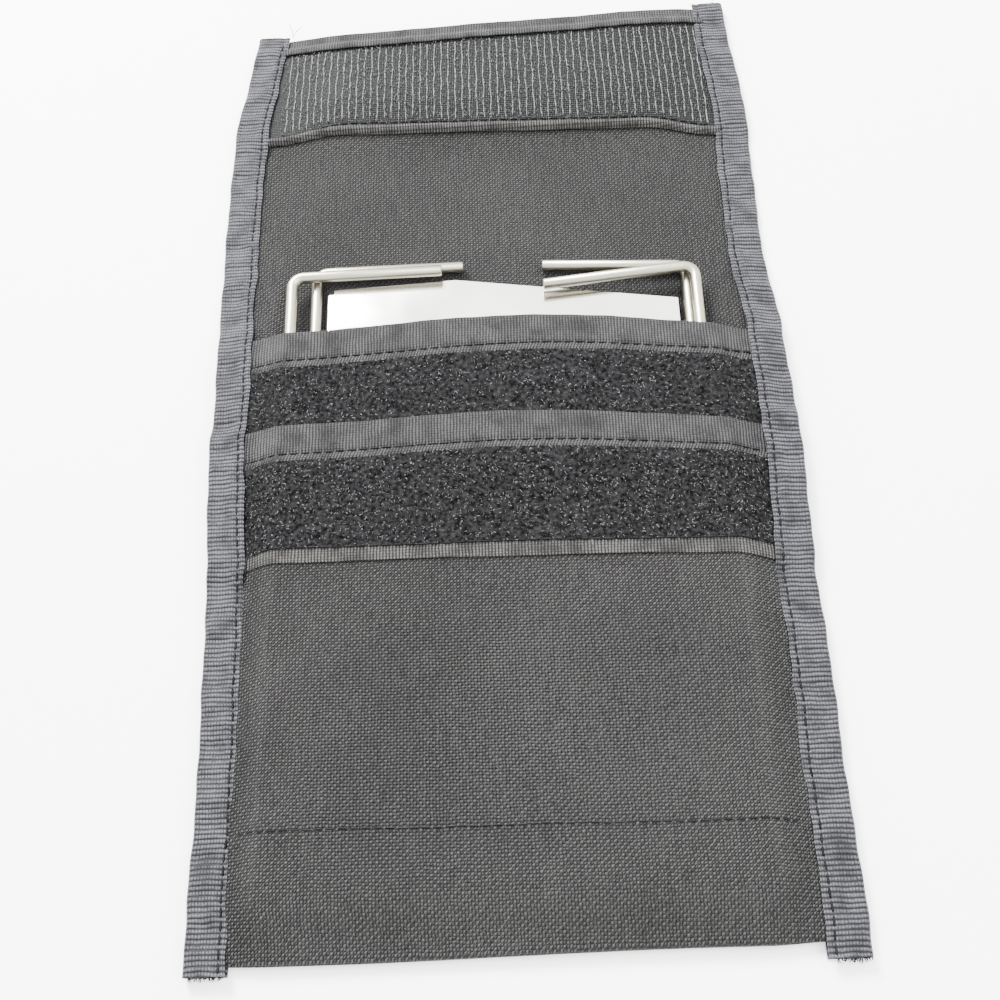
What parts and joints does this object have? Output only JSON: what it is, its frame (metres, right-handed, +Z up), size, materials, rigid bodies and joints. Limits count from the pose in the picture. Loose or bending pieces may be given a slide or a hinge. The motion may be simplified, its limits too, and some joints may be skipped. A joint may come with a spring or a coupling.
{
  "type": "storage pouch with folded steel stove",
  "caption": "Flat cloth pouch with two stacked pockets and a wide hook-and-loop flap, lying open with a folded steel wire and sheet stove in its rear pocket.",
  "frame": {"origin": "on the table under the middle of the open pouch", "axes": "+Z up from the table, +Y from the bottom fold towards the flap's free end, +X across to the right"},
  "size_m": [0.168, 0.3108, 0.0137],
  "materials": {
    "nylon_cloth": "charcoal black plain-weave heavy nylon, matte with a faint sheen on each yarn",
    "binding_tape": "dark grey ribbed binding tape, folded round the edges and stitched through",
    "loop_pile": "black soft loop pile with a flat woven edge",
    "hook_tape": "black hook tape with fine rows of hooks and a flat woven edge",
    "steel_wire": "satin stainless wire",
    "steel_sheet": "bright stainless sheet, nearly mirror-like, with light use marks"
  },
  "bodies": {
    "pouch": {"back_panel": "nylon_cloth", "middle_panel": "nylon_cloth", "front_panel": "nylon_cloth", "left_side_binding": "binding_tape", "right_side_binding": "binding_tape", "middle_mouth_binding": "binding_tape", "front_mouth_binding": "binding_tape", "middle_loop_strip": "loop_pile", "front_loop_strip": "loop_pile"},
    "fold": {"fold_panel": "nylon_cloth", "left_fold_binding": "binding_tape", "right_fold_binding": "binding_tape"},
    "flap": {"flap_panel": "nylon_cloth", "hook_strip": "hook_tape", "left_flap_binding": "binding_tape", "right_flap_binding": "binding_tape", "flap_end_binding": "binding_tape"},
    "stove": {"outer_frame": "steel_wire", "inner_frame": "steel_wire", "tray_back_leaf": "steel_sheet", "tray_front_leaf": "steel_sheet", "tray_hinge_pin": "steel_wire"}
  },
  "joints": [
    {"name": "crease_fold", "type": "hinge", "parent": "pouch", "child": "fold", "pos_m": [0, 0.0561, 0.001], "axis": [1, 0, 0], "range_deg": [0, 90], "deforming": ["fold_panel", "left_fold_binding", "right_fold_binding"]},
    {"name": "flap_fold", "type": "hinge", "parent": "fold", "child": "flap", "pos_m": [0, 0.0711, 0.001], "axis": [1, 0, 0], "range_deg": [0, 90]},
    {"name": "stove_slide", "type": "slide", "parent": "pouch", "child": "stove", "axis": [0, 1, 0], "range_m": [0, 0.047]}
  ],
  "couplings": [
    {"joint": "flap_fold", "follows": "crease_fold", "ratio": 1}
  ]
}
